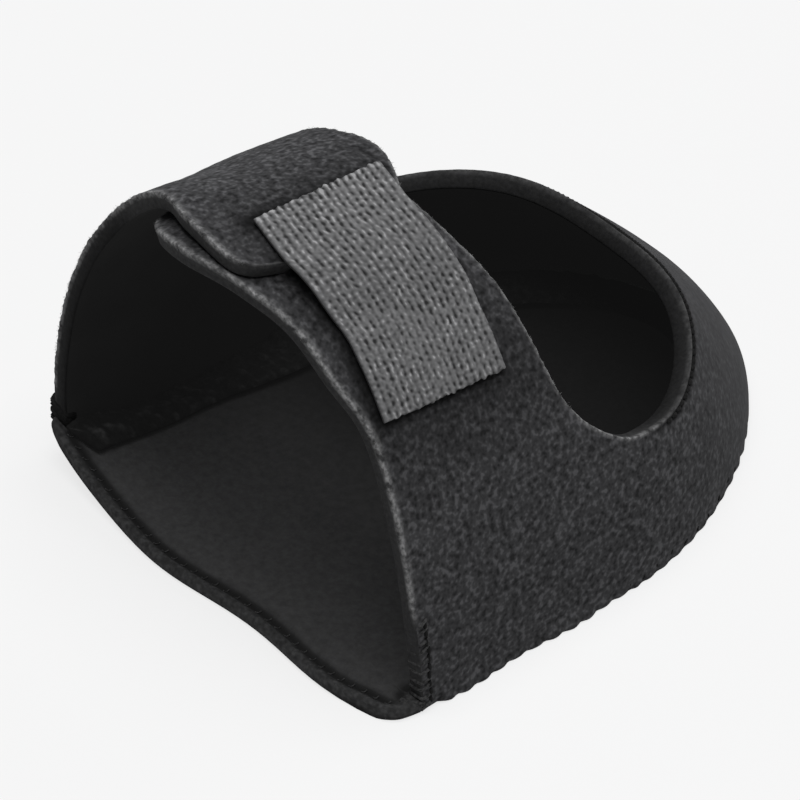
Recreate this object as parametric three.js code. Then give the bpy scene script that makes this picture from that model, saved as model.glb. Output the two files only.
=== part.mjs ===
// Heel sleeve with an instep strap: a neoprene wall round the heel whose near end is a flap over the
// instep and whose far end is a strap laid over that flap, a sole panel, its inner seam and a hook tab.
// Millimetres, +Z up, toes towards -Y, closure side +X, origin on the floor under the middle.
import * as THREE from 'three';

// Overall form
const HALF_WIDTH = 44.2;      // spine to the outside of the wall's foot
const SIDE_LENGTH = 50;       // heel centre forward to the front plane
const HEEL_REACH = 56.5;      // heel centre back to the outside of the heel
const HEEL_FULLNESS = 1.77;   // exponent of the heel's plan outline, 2 is an ellipse
const HEEL_RUN = 80;          // pattern length from the heel centre's rib to the back of the heel
const LIP = 5.65;             // how far the sole and the flap reach in front of the front plane

// Cloth
const CLOTH = 3;              // neoprene with its face cloths
const GAP = 0.3;              // clearance between neighbouring pieces
const SOLE_THICK = 2.2;
const TAB_THICK = 1;

// The wall's outer section at three places. Each half section is one cubic from the foot to the crown:
// foot_pull and CROWN_PULL are its handles, and swell pushes the wall out just above the foot.
const RIBS = {
  front:  { crown: 71,   foot_pull: 0.57, swell: 0 },
  middle: { crown: 65.5, foot_pull: 0.57, swell: 0 },
  back:   { crown: 46.5, foot_pull: 0.15, swell: 0.03 },
};
const CROWN_PULL = 0.56;
const RIB_STEPS = 48;
const FOOT_HEIGHT = 10;       // height over which the cloth turns from standing level to square to the wall
const NORMAL_STEP = 0.4;      // half the step that the wall's facing is measured over

// Cut pattern of the wall, in millimetres on the cloth. along runs back from the front plane and round
// to the back of the heel, up runs from the floor over the instep. The edge is the front and bottom of
// the cloth, the rim its ankle side.
const FLAP_ROWS = [
  { edge_along: 3.5,  edge_up: 112,  rim_along: 28.5, rim_up: 112 },
  { edge_along: -1.4, edge_up: 107,  rim_along: 33,   rim_up: 107.5 },
  { edge_along: -4.2, edge_up: 96,   rim_along: 33.3, rim_up: 96 },
  { edge_along: -2.2, edge_up: 84,   rim_along: 33.8, rim_up: 84.5 },
  { edge_along: 0.6,  edge_up: 73.6, rim_along: 35.5, rim_up: 74 },
  { edge_along: 2,    edge_up: 62.8, rim_along: 38.1, rim_up: 63.5 },
  { edge_along: 4.4,  edge_up: 52,   rim_along: 39.5, rim_up: 53 },
  { edge_along: 4,    edge_up: 34,   rim_along: 40.9, rim_up: 43.4 },
  { edge_along: 3.8,  edge_up: 18,   rim_along: 43.2, rim_up: 38 },
  { edge_along: 4.4,  edge_up: 0,    rim_along: 46.2, rim_up: 34 },
];
const NEAR_HEEL_ROWS = [
  { edge_along: 24,  edge_up: 0, rim_along: 50.5, rim_up: 30.4 },
  { edge_along: 48,  edge_up: 0, rim_along: 57.5, rim_up: 28 },
  { edge_along: 72,  edge_up: 0, rim_along: 70,   rim_up: 27.2 },
  { edge_along: 95,  edge_up: 0, rim_along: 89,   rim_up: 33 },
  { edge_along: 112, edge_up: 0, rim_along: 108,  rim_up: 38.4 },
  { edge_along: 130, edge_up: 0, rim_along: 130,  rim_up: 39.4 },
];
const FAR_HEEL_ROWS = [
  { edge_along: 106, edge_up: 0, rim_along: 103,  rim_up: 37.2 },
  { edge_along: 82,  edge_up: 0, rim_along: 79,   rim_up: 33.2 },
  { edge_along: 56,  edge_up: 0, rim_along: 62,   rim_up: 30.6 },
  { edge_along: 28,  edge_up: 0, rim_along: 50.5, rim_up: 31.2 },
];
const STRAP_ROWS = [
  { edge_along: 0,    edge_up: 0,    rim_along: 44.6, rim_up: 35.4 },
  { edge_along: -1,   edge_up: 20,   rim_along: 41.2, rim_up: 42 },
  { edge_along: -1.1, edge_up: 38,   rim_along: 39,   rim_up: 51.5 },
  { edge_along: -0.2, edge_up: 56,   rim_along: 37.6, rim_up: 60.5 },
  { edge_along: 1.1,  edge_up: 76,   rim_along: 35.6, rim_up: 75.5 },
  { edge_along: -1.6, edge_up: 86,   rim_along: 35.7, rim_up: 86 },
  { edge_along: -2.4, edge_up: 95.5, rim_along: 32.2, rim_up: 95 },
  { edge_along: -0.4, edge_up: 99.8, rim_along: 29,   rim_up: 98.6 },
  { edge_along: 5,    edge_up: 102,  rim_along: 25,   rim_up: 100.4 },
];
const ACROSS_STEPS = 8;
const LEG_STEPS = 3;          // mesh steps between two rows of the flap and the strap
const HEEL_STEPS = 5;         // mesh steps between two rows round the heel

// How the strap lies over the flap
const STRAP_LIFT = CLOTH + GAP;
const LIFT_UP = { start: 20, full: 66 };      // where on the far wall the strap leaves the base form
const LIFT_ALONG = { full: 34, end: 52 };     // the heel behind the strap isn't lifted
const STRAP_BOW = { rise: 1.8, up: 77, spread: 20, back: 18 };  // front edge stands off the flap

// Sole panel, a row from the far edge to the near edge at each place. The front rows are measured from the
// heel centre, and the rows behind them follow the wall at places along it.
const SOLE_INSET = CLOTH + GAP;
const HEEL_LEAN = 0.8;        // the wall leans in over the sole and the seam at the back of the heel
const SOLE_FRONT_ROWS = [
  { near_x: 36,   near_y: -53,   far_x: 36,   far_y: -53.3, bow: -1.5 },
  { near_x: 41,   near_y: -51.8, far_x: 41.2, far_y: -52.5, bow: -1.6 },
  { near_x: 43.4, near_y: -49.4, far_x: 43.4, far_y: -51.7, bow: -1.3 },
  { near_x: 44.2, near_y: -46.6, far_x: 44.2, far_y: -50.9, bow: -0.9 },
  { near_x: 40.9, near_y: -46.1, far_x: 40.9, far_y: -50.4, bow: -0.5 },
];
const SOLE_BOW_POWER = 6;     // how flat the front edge's bow is across its middle
const SOLE_WAVE = { reach: 1.1, length: 1.4 };  // the front edge waves, a length of 2 being its whole width
const SOLE_ALONGS = [9, 18, 27, 36, 45, 55, 65, 75, 85, 95, 104];
const SOLE_COLUMNS = 16;

// Inner seam ridge between the sole and the wall: depth in from the wall's outside, height on the wall
const SEAM_SECTION = [
  { depth: 3.6, up: 2.8 },
  { depth: 10,  up: 3 },
  { depth: 9.8, up: 3.9 },
  { depth: 8,   up: 4.9 },
  { depth: 5.8, up: 4.4 },
  { depth: 3.6, up: 4.2 },
];
const SEAM_ENDS = { near: 6, far: 3 };
const SEAM_STEPS = 84;

// Hook tab, 25 mm tape sewn on the strap's end and pressed on to the flap
const TAB_WIDTH = 25;
const TAB_FRONT = [             // front edge of the tape on the cloth, from its top end
  { up: 89.3, along: 5.5 },
  { up: 84.5, along: 4.5 },
  { up: 80,   along: 4.3 },
  { up: 74,   along: 5.8 },
  { up: 68,   along: 7.3 },
  { up: 62,   along: 7.3 },
  { up: 52.4, along: 7 },
];
const TAB_SKEW = 2.1;           // how much further up the cloth the front edge lies than the rear one
const TAB_REAR_RISE = 1;        // how much higher the rear edge stands on the strap
const TAB_RAMP = { start: 80.5, front_end: 69.5, rear_end: 62 };  // where the tab comes down off the strap
const TAB_COLUMNS = 6;
const TAB_ROWS = 18;

// The far front corner of the sole and the wall's foot curl up off the floor
const CURL = { rise: 8, power: 3, back: 28, top: 45 };

const HEEL_BACK = SIDE_LENGTH + HEEL_RUN;
const CENTRE_Y = (LIP + SIDE_LENGTH - HEEL_REACH) / 2;

const clamp01 = (x) => Math.min(1, Math.max(0, x));
const smooth = (x) => clamp01(x) ** 2 * (3 - 2 * clamp01(x));
const mix = (a, b, f) => a + (b - a) * f;

// 0 along the sides, rising to 1 at the back of the heel
const heelShare = (along) => smooth((along - SIDE_LENGTH) / HEEL_RUN);

function mixRibs(a, b, f) {
  return {
    crown: mix(a.crown, b.crown, f),
    foot_pull: mix(a.foot_pull, b.foot_pull, f),
    swell: mix(a.swell, b.swell, f),
  };
}

// Point of the heel's plan outline at a turn of 0 (side) to 90 degrees (back)
function heelOutline(turn) {
  const power = 2 / HEEL_FULLNESS;
  const x = HALF_WIDTH * Math.max(0, Math.cos(turn)) ** power;
  const y = HEEL_REACH * Math.sin(turn) ** power;
  return new THREE.Vector2(x, y);
}

// The rib at a place along the wall: where it stands, which way it faces in plan, and its section
function ribAt(along) {
  if (along <= SIDE_LENGTH) {
    const rib = mixRibs(RIBS.front, RIBS.middle, clamp01(along / SIDE_LENGTH) ** 2);
    return { spine_y: along - SIDE_LENGTH, facing: new THREE.Vector2(1, 0), reach: HALF_WIDTH, rib };
  }
  const turn = Math.min(1, (along - SIDE_LENGTH) / HEEL_RUN) * Math.PI / 2;
  const foot = heelOutline(turn);
  const rib = mixRibs(RIBS.middle, RIBS.back, Math.sin(turn) ** 2);
  return { spine_y: 0, facing: foot.clone().normalize(), reach: foot.length(), rib };
}

// Half section from the foot to the crown, as distance from the spine and height
function ribCurve({ reach, rib }) {
  return new THREE.CubicBezierCurve(
    new THREE.Vector2(reach, 0),
    new THREE.Vector2(reach * (1 + rib.swell), rib.crown * rib.foot_pull),
    new THREE.Vector2(reach * CROWN_PULL, rib.crown),
    new THREE.Vector2(0, rib.crown),
  );
}

// Point of the near half's outer form at a place on the pattern. Past the crown it comes down the far side.
function formPoint(along, up) {
  const place = ribAt(along);
  const curve = ribCurve(place);
  curve.arcLengthDivisions = RIB_STEPS;
  const length = curve.getLength();
  const past_crown = up > length;
  const fraction = (past_crown ? 2 * length - up : up) / length;
  const section = curve.getPointAt(clamp01(fraction));
  const out = past_crown ? -section.x : section.x;
  return new THREE.Vector3(place.facing.x * out, place.spine_y + place.facing.y * out, section.y);
}

// Outward normal, level at the foot so that the cloth stands on its cut edge
function formNormal(along, up) {
  const low = Math.max(up, NORMAL_STEP);
  const back = Math.min(along, HEEL_BACK - NORMAL_STEP);
  const run = formPoint(back + NORMAL_STEP, low).sub(formPoint(back - NORMAL_STEP, low));
  const rise = formPoint(back, low + NORMAL_STEP).sub(formPoint(back, low - NORMAL_STEP));
  const normal = run.cross(rise).normalize();
  normal.z *= smooth(up / FOOT_HEIGHT);
  return normal.normalize();
}

function strapLift(along, up) {
  const on_wall = smooth((up - LIFT_UP.start) / (LIFT_UP.full - LIFT_UP.start));
  const on_strap = 1 - smooth((along - LIFT_ALONG.full) / (LIFT_ALONG.end - LIFT_ALONG.full));
  const near_front = 1 - smooth(along / STRAP_BOW.back);
  const near_shoulder = 1 - smooth(Math.abs(up - STRAP_BOW.up) / STRAP_BOW.spread);
  return (STRAP_LIFT * on_wall + STRAP_BOW.rise * near_front * near_shoulder) * on_strap;
}

function curled(point) {
  const side = clamp01(-point.x / HALF_WIDTH) ** CURL.power;
  const front = 1 - smooth((point.y + SIDE_LENGTH + LIP) / CURL.back);
  const low = clamp01(1 - point.z / CURL.top);
  point.z += CURL.rise * side * front * low;
  return point;
}

// Point of the cloth on the near half (side 1) or the far half (side -1), at a depth below its outside
function clothPoint(side, along, up, depth, lift = 0) {
  const point = formPoint(along, up).addScaledVector(formNormal(along, up), lift - depth);
  point.x *= side;
  return curled(point);
}

// Closed solid from a grid of outside and inside points
function slabGeometry(outside, inside) {
  const rows = outside.length;
  const columns = outside[0].length;
  const positions = [];
  for (const skin of [outside, inside]) {
    for (const row of skin) {
      for (const point of row) positions.push(point.x, point.y, point.z);
    }
  }
  const at = (layer, i, j) => (layer * rows + i) * columns + j;
  const index = [];
  const quad = (a, b, c, d) => index.push(a, b, c, a, c, d);
  for (let i = 0; i < rows - 1; i++) {
    for (let j = 0; j < columns - 1; j++) {
      quad(at(0, i, j), at(0, i + 1, j), at(0, i + 1, j + 1), at(0, i, j + 1));
      quad(at(1, i, j), at(1, i, j + 1), at(1, i + 1, j + 1), at(1, i + 1, j));
    }
  }
  for (let i = 0; i < rows - 1; i++) {
    const last = columns - 1;
    quad(at(0, i, 0), at(1, i, 0), at(1, i + 1, 0), at(0, i + 1, 0));
    quad(at(0, i, last), at(0, i + 1, last), at(1, i + 1, last), at(1, i, last));
  }
  for (let j = 0; j < columns - 1; j++) {
    const last = rows - 1;
    quad(at(0, 0, j), at(0, 0, j + 1), at(1, 0, j + 1), at(1, 0, j));
    quad(at(0, last, j), at(1, last, j), at(1, last, j + 1), at(0, last, j + 1));
  }
  const geometry = new THREE.BufferGeometry();
  geometry.setAttribute('position', new THREE.Float32BufferAttribute(positions, 3));
  geometry.setIndex(index);
  return geometry;
}

// The pattern's rows as one run: the far half counts on from the back of the heel
const farRun = (along) => 2 * HEEL_BACK - along;
const nearRow = (row) => ({
  edge: new THREE.Vector2(row.edge_along, row.edge_up),
  rim: new THREE.Vector2(row.rim_along, row.rim_up),
});
const farRow = (row) => ({
  edge: new THREE.Vector2(farRun(row.edge_along), row.edge_up),
  rim: new THREE.Vector2(farRun(row.rim_along), row.rim_up),
});

// Edge and rim points of the pattern, paired, with the foot's two front corners kept sharp
function patternPairs() {
  const flap = FLAP_ROWS.map(nearRow);
  const heel = [...NEAR_HEEL_ROWS.map(nearRow), ...FAR_HEEL_ROWS.map(farRow)];
  const strap = STRAP_ROWS.map(farRow);
  const legs = [
    { rows: flap, steps: LEG_STEPS },
    { rows: [flap.at(-1), ...heel, strap[0]], steps: HEEL_STEPS },
    { rows: strap, steps: LEG_STEPS },
  ];
  const rim = new THREE.SplineCurve([...flap, ...heel, ...strap].map((row) => row.rim));
  const rim_spans = rim.points.length - 1;
  const pairs = [];
  let spans_before = 0;
  for (const { rows, steps } of legs) {
    const edge = new THREE.SplineCurve(rows.map((row) => row.edge));
    const spans = rows.length - 1;
    const first = pairs.length === 0 ? 0 : 1;
    for (let k = first; k <= spans * steps; k++) {
      const span = k / steps;
      pairs.push({
        edge: edge.getPoint(span / spans),
        rim: rim.getPoint((spans_before + span) / rim_spans),
      });
    }
    spans_before += spans;
  }
  return pairs;
}

function upperGeometry() {
  const skins = [0, CLOTH].map((depth) => patternPairs().map(({ edge, rim }) => {
    const row = [];
    for (let j = 0; j <= ACROSS_STEPS; j++) {
      const place = edge.clone().lerp(rim, j / ACROSS_STEPS);
      const far = place.x > HEEL_BACK;
      const along = far ? farRun(place.x) : place.x;
      const up = Math.max(0, place.y);
      row.push(clothPoint(far ? -1 : 1, along, up, depth, far ? strapLift(along, up) : 0));
    }
    return row;
  }));
  return slabGeometry(skins[0], skins[1]);
}

// Edge of the sole at a place along the wall, clear of the wall's inside
function soleEdge(along) {
  const inset = SOLE_INSET + HEEL_LEAN * heelShare(along);
  return formPoint(along, 0).addScaledVector(formNormal(along, 0), -inset);
}

// Rows of the sole from the front lip to the back of the heel. Its last row runs round the heel's end,
// and the rows before it bow towards that.
function soleRows() {
  const columns = [];
  for (let j = 0; j <= SOLE_COLUMNS; j++) columns.push(2 * j / SOLE_COLUMNS - 1);
  const wave = (a) => SOLE_WAVE.reach * Math.sin(2 * Math.PI * a / SOLE_WAVE.length) * (1 - a * a);
  const rows = SOLE_FRONT_ROWS.map((row) => columns.map((a) => new THREE.Vector3(
    mix(-row.far_x, row.near_x, (a + 1) / 2),
    mix(row.far_y, row.near_y, (a + 1) / 2) + row.bow * (1 - a ** SOLE_BOW_POWER) + wave(a),
    0,
  )));
  const last_along = SOLE_ALONGS.at(-1);
  const end_row = columns.map((a) => {
    const edge = soleEdge(mix(HEEL_BACK, last_along, Math.abs(a)));
    return new THREE.Vector3(Math.sign(a) * edge.x, edge.y, 0);
  });
  for (const along of SOLE_ALONGS.slice(0, -1)) {
    const edge = soleEdge(along);
    const bow = clamp01((along - SIDE_LENGTH / 2) / (last_along - SIDE_LENGTH / 2)) ** 2;
    rows.push(columns.map((a, j) => {
      const reach = end_row[j].y - end_row[0].y;
      return new THREE.Vector3(a * edge.x, edge.y + bow * reach, 0);
    }));
  }
  rows.push(end_row);
  return rows;
}

function soleGeometry() {
  const skin = (height) => soleRows().map((row) => row.map((point) => curled(point.setZ(height))));
  return slabGeometry(skin(0), skin(SOLE_THICK));
}

// Ridge of one closed section carried round the inside of the wall's foot
function seamGeometry() {
  const sides = SEAM_SECTION.length;
  const run_end = farRun(SEAM_ENDS.far);
  const positions = [];
  for (let i = 0; i <= SEAM_STEPS; i++) {
    const run = mix(SEAM_ENDS.near, run_end, i / SEAM_STEPS);
    const far = run > HEEL_BACK;
    const along = far ? farRun(run) : run;
    for (const { depth, up } of SEAM_SECTION) {
      const point = clothPoint(far ? -1 : 1, along, up + HEEL_LEAN * heelShare(along), depth);
      positions.push(point.x, point.y, point.z);
    }
  }
  const index = [];
  for (let i = 0; i < SEAM_STEPS; i++) {
    for (let j = 0; j < sides; j++) {
      const next = (j + 1) % sides;
      const a = i * sides + j;
      const b = i * sides + next;
      index.push(a, b, b + sides, a, b + sides, a + sides);
    }
  }
  const last = SEAM_STEPS * sides;
  for (let j = 1; j < sides - 1; j++) {
    index.push(0, j + 1, j);
    index.push(last, last + j, last + j + 1);
  }
  const geometry = new THREE.BufferGeometry();
  geometry.setAttribute('position', new THREE.Float32BufferAttribute(positions, 3));
  geometry.setIndex(index);
  return geometry;
}

function tabGeometry() {
  const front = new THREE.SplineCurve(TAB_FRONT.map(({ along, up }) => new THREE.Vector2(along, up)));
  const skin = (thickness) => {
    const rows = [];
    for (let i = 0; i <= TAB_ROWS; i++) {
      const place = front.getPoint(i / TAB_ROWS);
      const row = [];
      for (let j = 0; j <= TAB_COLUMNS; j++) {
        const across = j / TAB_COLUMNS;
        const up = place.y + TAB_SKEW * (0.5 - across);
        const ramp_end = mix(TAB_RAMP.front_end, TAB_RAMP.rear_end, across);
        const on_strap = smooth((up - ramp_end) / (TAB_RAMP.start - ramp_end));
        const rise = GAP + (STRAP_LIFT + TAB_REAR_RISE * across) * on_strap;
        row.push(clothPoint(1, place.x + TAB_WIDTH * across, up, 0, rise + thickness));
      }
      rows.push(row);
    }
    return rows;
  };
  return slabGeometry(skin(TAB_THICK), skin(0));
}

function piece(name, geometry, color, roughness) {
  const material = new THREE.MeshStandardMaterial({ color, roughness, metalness: 0 });
  const mesh = new THREE.Mesh(geometry, material);
  mesh.name = name;
  return mesh;
}

const sleeve = new THREE.Group();
sleeve.add(piece('upper', upperGeometry(), 0x333335, 0.95));
sleeve.add(piece('sole', soleGeometry(), 0x242426, 0.95));
sleeve.add(piece('sole_seam', seamGeometry(), 0x1c1c1e, 0.9));
sleeve.add(piece('hook_tab', tabGeometry(), 0x737375, 0.7));
sleeve.position.y = CENTRE_Y;

export default sleeve;
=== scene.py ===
from types import SimpleNamespace as Sizes

import bpy
import numpy as np
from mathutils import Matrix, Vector, noise


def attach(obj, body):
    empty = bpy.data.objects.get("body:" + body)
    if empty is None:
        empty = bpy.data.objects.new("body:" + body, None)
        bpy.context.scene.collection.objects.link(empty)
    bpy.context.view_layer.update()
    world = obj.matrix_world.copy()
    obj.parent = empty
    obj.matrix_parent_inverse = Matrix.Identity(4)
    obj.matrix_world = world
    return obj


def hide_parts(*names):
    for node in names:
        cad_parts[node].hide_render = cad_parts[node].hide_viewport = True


# Looks of a heel sleeve with an instep strap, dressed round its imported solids.
# Lengths are millimetres, with Y counted from where the heel's turn starts. make_piece centres them
# on the part's own frame, and makes them metres.
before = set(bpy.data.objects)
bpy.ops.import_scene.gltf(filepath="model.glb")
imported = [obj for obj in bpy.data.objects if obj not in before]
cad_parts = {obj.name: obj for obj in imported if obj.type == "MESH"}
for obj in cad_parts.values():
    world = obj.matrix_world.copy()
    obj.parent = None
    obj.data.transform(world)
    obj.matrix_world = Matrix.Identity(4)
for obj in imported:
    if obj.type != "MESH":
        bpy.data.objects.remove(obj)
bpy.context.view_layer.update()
scene = bpy.context.scene

MM = 0.001
rng = np.random.default_rng(11)

# The wall's form, as the solids have it
HALF_WIDTH = 44.2
SIDE_LENGTH = 50
HEEL_REACH = 56.5
HEEL_FULLNESS = 1.77
HEEL_RUN = 80
LIP = 5.65
CLOTH = 3
GAP = 0.3
SOLE_THICK = 2.2
TAB_THICK = 1
RIBS = np.array([   # crown height, pull up from the foot and swell, at the front, the middle and the back
    (71, 0.57, 0), (65.5, 0.57, 0), (46.5, 0.15, 0.03),
])
CROWN_PULL = 0.56
RIB_STEPS = 48
FOOT_HEIGHT = 10
NORMAL_STEP = 0.4
HEEL_BACK = SIDE_LENGTH + HEEL_RUN
WHOLE_RUN = 2 * HEEL_BACK
CENTRE_Y = (LIP + SIDE_LENGTH - HEEL_REACH) / 2

# Cut pattern of the wall: edge along and up, rim along and up
FLAP_ROWS = [
    (3.5, 112, 28.5, 112),
    (-1.4, 107, 33, 107.5),
    (-4.2, 96, 33.3, 96),
    (-2.2, 84, 33.8, 84.5),
    (0.6, 73.6, 35.5, 74),
    (2, 62.8, 38.1, 63.5),
    (4.4, 52, 39.5, 53),
    (4, 34, 40.9, 43.4),
    (3.8, 18, 43.2, 38),
    (4.4, 0, 46.2, 34),
]
NEAR_HEEL_ROWS = [
    (24, 0, 50.5, 30.4),
    (48, 0, 57.5, 28),
    (72, 0, 70, 27.2),
    (95, 0, 89, 33),
    (112, 0, 108, 38.4),
    (130, 0, 130, 39.4),
]
FAR_HEEL_ROWS = [
    (106, 0, 103, 37.2),
    (82, 0, 79, 33.2),
    (56, 0, 62, 30.6),
    (28, 0, 50.5, 31.2),
]
STRAP_ROWS = [
    (0, 0, 44.6, 35.4),
    (-1, 20, 41.2, 42),
    (-1.1, 38, 39, 51.5),
    (-0.2, 56, 37.6, 60.5),
    (1.1, 76, 35.6, 75.5),
    (-1.6, 86, 35.7, 86),
    (-2.4, 95.5, 32.2, 95),
    (-0.4, 99.8, 29, 98.6),
    (5, 102, 25, 100.4),
]
FLAP_FOOT = len(FLAP_ROWS) - 1
STRAP_FOOT = len(FLAP_ROWS) + len(NEAR_HEEL_ROWS) + len(FAR_HEEL_ROWS)
LAST_ROW = STRAP_FOOT + len(STRAP_ROWS) - 1

STRAP_LIFT = CLOTH + GAP
LIFT_UP = (20, 66)
LIFT_ALONG = (34, 52)
STRAP_BOW = Sizes(rise=1.8, up=77, spread=20, back=18)
CURL = Sizes(rise=8, power=3, back=28, top=45)

# Sole: near x and y, far x and y and bow of its front rows, then places along the wall
SOLE_FRONT_ROWS = [
    (36, -53, 36, -53.3, -1.5),
    (41, -51.8, 41.2, -52.5, -1.6),
    (43.4, -49.4, 43.4, -51.7, -1.3),
    (44.2, -45.8, 44.2, -50.2, -0.9),
    (41.3, -45.4, 41.3, -49.8, -0.5),
]
SOLE_WAVE = Sizes(reach=1.1, length=1.4)
SOLE_ALONGS = [9, 18, 27, 36, 45, 55, 65, 75, 85, 95, 104]
SOLE_BOW_POWER = 6
SEWN_IN = 0.1    # the sole's edge goes this far into the wall's inside
SOLE_INSET = CLOTH - SEWN_IN
HEEL_LEAN = 0.8

# Hook tab: along and up of its front edge, from the top
TAB_WIDTH = 25
TAB_FRONT = [(5.5, 89.3), (4.5, 84.5), (4.3, 80), (5.8, 74), (7.3, 68), (7.3, 62), (7, 52.4)]
TAB_SKEW = 2.1
TAB_REAR_RISE = 1
TAB_RAMP = Sizes(start=80.5, front_end=69.5, rear_end=62)

# Zones of a cloth panel's surface
OUTSIDE, CUT, INSIDE = 0, 1, 2


def mix(a, b, f):
    return a + (b - a) * f


def smooth(x):
    x = np.clip(x, 0, 1)
    return x * x * (3 - 2 * x)


def rising(x, start, full):
    """0 up to start, then smoothly up to 1 at full."""
    return smooth((x - start) / (full - start))


def bell(x):
    return np.exp(-(x**2))


def unit(vectors):
    return vectors / np.linalg.norm(vectors, axis=-1, keepdims=True)


def bezier_weights(t):
    s = 1 - t
    return np.stack([s**3, 3 * s * s * t, 3 * s * t * t, t**3], -1)


def rib_handles(along):
    """Spine, facing and the four section handles of the wall's rib at each place along it."""
    side = np.clip(along / SIDE_LENGTH, 0, 1) ** 2
    turn = np.clip((along - SIDE_LENGTH) / HEEL_RUN, 0, 1) * np.pi / 2
    front, middle, back = RIBS[..., None]
    crown, foot_pull, swell = mix(mix(front, middle, side), back, np.sin(turn) ** 2)
    power = 2 / HEEL_FULLNESS
    foot_x = HALF_WIDTH * np.cos(turn).clip(0) ** power
    foot_y = HEEL_REACH * np.sin(turn) ** power
    reach = np.hypot(foot_x, foot_y)
    zero = np.zeros_like(reach)
    out = np.stack([reach, reach * (1 + swell), reach * CROWN_PULL, zero], -1)
    height = np.stack([zero, crown * foot_pull, crown, crown], -1)
    spine_y = np.minimum(along - SIDE_LENGTH, 0)
    facing = np.stack([foot_x / reach, foot_y / reach], -1)
    return spine_y, facing, np.stack([out, height], -1)


def form_points(along, up):
    """Points of the near half's outer form. Past the crown they come down the far side."""
    shape = along.shape
    along, up = along.ravel(), up.ravel()
    spine_y, facing, handles = rib_handles(along)
    samples = np.einsum("tk,nkd->ntd", bezier_weights(np.linspace(0, 1, RIB_STEPS + 1)), handles)
    steps = np.linalg.norm(np.diff(samples, axis=1), axis=-1)
    run = np.cumsum(steps, axis=1)
    length = run[:, -1]
    past_crown = up > length
    target = np.clip(np.where(past_crown, 2 * length - up, up), 0, length)
    step = np.clip((run < target[:, None]).sum(1), 0, RIB_STEPS - 1)
    each = np.arange(len(step))
    share = 1 - (run[each, step] - target) / steps[each, step]
    section = np.einsum("nk,nkd->nd", bezier_weights((step + share) / RIB_STEPS), handles)
    out = np.where(past_crown, -section[:, 0], section[:, 0])
    points = np.stack([facing[:, 0] * out, spine_y + facing[:, 1] * out, section[:, 1]], -1)
    return points.reshape(*shape, 3)


def form_normals(along, up):
    """Outward normals, level at the foot so that the cloth stands on its cut edge."""
    low = np.maximum(up, NORMAL_STEP)
    back = np.minimum(along, HEEL_BACK - NORMAL_STEP)
    run = form_points(back + NORMAL_STEP, low) - form_points(back - NORMAL_STEP, low)
    rise = form_points(back, low + NORMAL_STEP) - form_points(back, low - NORMAL_STEP)
    normals = unit(np.cross(run, rise))
    normals[..., 2] *= smooth(up / FOOT_HEIGHT)
    return unit(normals)


def from_front(run):
    """Distance along the wall from the front edge on its own side."""
    return np.where(run > HEEL_BACK, WHOLE_RUN - run, run)


def wall(run, up):
    """Points and normals of the wall's outer form; run counts from the near front to the far front."""
    run, up = np.broadcast_arrays(np.asarray(run, float), np.asarray(up, float))
    along = from_front(run)
    points, normals = form_points(along, up), form_normals(along, up)
    side = np.where(run > HEEL_BACK, -1, 1)
    points[..., 0] *= side
    normals[..., 0] *= side
    return points, normals


def heel_share(run):
    """0 along the sides, rising to 1 at the back of the heel."""
    return smooth((from_front(run) - SIDE_LENGTH) / HEEL_RUN)


def strap_lift(run, up):
    """How far the strap stands off the form, to lie over the flap."""
    along = WHOLE_RUN - run
    on_wall = rising(up, *LIFT_UP)
    on_strap = 1 - rising(along, *LIFT_ALONG)
    near_front = 1 - smooth(along / STRAP_BOW.back)
    near_shoulder = 1 - smooth(abs(up - STRAP_BOW.up) / STRAP_BOW.spread)
    lift = (STRAP_LIFT * on_wall + STRAP_BOW.rise * near_front * near_shoulder) * on_strap
    return np.where(run > HEEL_BACK, lift, 0)


def curled(points):
    """The far front corner of the sole and the wall's foot curls up off the floor."""
    side = np.clip(-points[..., 0] / HALF_WIDTH, 0, 1) ** CURL.power
    front = 1 - smooth((points[..., 1] + SIDE_LENGTH + LIP) / CURL.back)
    low = np.clip(1 - points[..., 2] / CURL.top, 0, 1)
    points = points.copy()
    points[..., 2] += CURL.rise * side * front * low
    return points


def off_wall(run, up, rise):
    """Points at a rise off the wall's outer form."""
    points, normals = wall(run, up)
    return points + normals * np.broadcast_to(rise, points.shape[:-1])[..., None]


def cloth_points(run, up, rise):
    """Points at a rise off the wall's cloth, with the strap's lift and the foot's curl."""
    return curled(off_wall(run, up, rise + strap_lift(run, up)))


def hermite(start, end, leave, arrive, t):
    return (
        (2 * start - 2 * end + leave + arrive) * t**3
        + (3 * end - 3 * start - 2 * leave - arrive) * t**2
        + leave * t
        + start
    )


def spline(points, spans):
    """Catmull-Rom curve through points, at places counted in spans from the first."""
    points = np.asarray(points, float)
    last = len(points) - 1
    first = np.clip(np.floor(spans).astype(int), 0, last - 1)
    t = (spans - first)[:, None]
    start, end = points[first], points[first + 1]
    leave = (end - points[np.maximum(first - 1, 0)]) / 2
    arrive = (points[np.minimum(first + 2, last)] - start) / 2
    return hermite(start, end, leave, arrive, t)


def travel(*paths):
    """Length travelled up to each point of a path. Of several, the longest step counts each time."""
    steps = [np.linalg.norm(np.diff(path, axis=0), axis=1) for path in paths]
    return np.concatenate([[0], np.cumsum(np.max(steps, axis=0))])


def along_path(path, places):
    """Points of a path at lengths travelled along it."""
    travelled = travel(path)
    return np.stack([np.interp(places, travelled, path[:, k]) for k in range(path.shape[1])], -1)


def grain(points, size):
    """Smooth noise from -1 to 1 with features of that size."""
    flat = (points.reshape(-1, 3) / size).tolist()
    return np.array([noise.noise(p) for p in flat]).reshape(points.shape[:-1])


# Cloth panels


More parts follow.
